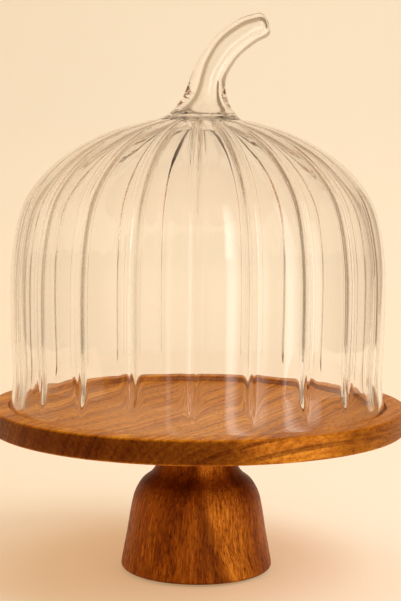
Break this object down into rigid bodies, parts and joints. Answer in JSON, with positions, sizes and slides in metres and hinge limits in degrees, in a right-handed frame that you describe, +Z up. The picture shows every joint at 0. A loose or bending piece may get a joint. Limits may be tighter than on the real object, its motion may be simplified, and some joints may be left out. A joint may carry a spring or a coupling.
{
  "type": "glass dome on pedestal stand",
  "caption": "Lobed clear glass dome with a curled hollow stem handle, resting in the sunk seat of a turned wooden board on a turned pedestal; the dome lifts off.",
  "frame": {"origin": "on the table, under the middle of the pedestal", "axes": "+Z up along the pedestal's axis; the glass stem leans towards +X; the viewer's side is -Y"},
  "size_m": [0.31, 0.31, 0.4149],
  "materials": {
    "clear_glass": "clear, fire-polished",
    "board_wood": "oiled acacia, satin",
    "pedestal_wood": "oiled acacia, satin",
    "insert_brass": "turned",
    "bolt_steel": "zinc plated",
    "pad_rubber": "matt"
  },
  "bodies": {
    "stand": {"cake_board": "board_wood", "pedestal": "pedestal_wood", "threaded_insert": "insert_brass", "hanger_bolt": "bolt_steel", "foot_pad_1": "pad_rubber", "foot_pad_2": "pad_rubber", "foot_pad_3": "pad_rubber", "foot_pad_4": "pad_rubber"},
    "dome": {"dome_shell": "clear_glass", "stem_handle": "clear_glass"}
  },
  "joints": [
    {"name": "dome_lift", "type": "slide", "parent": "stand", "child": "dome", "axis": [0, 0, 1], "range_m": [0, 0.22]}
  ]
}
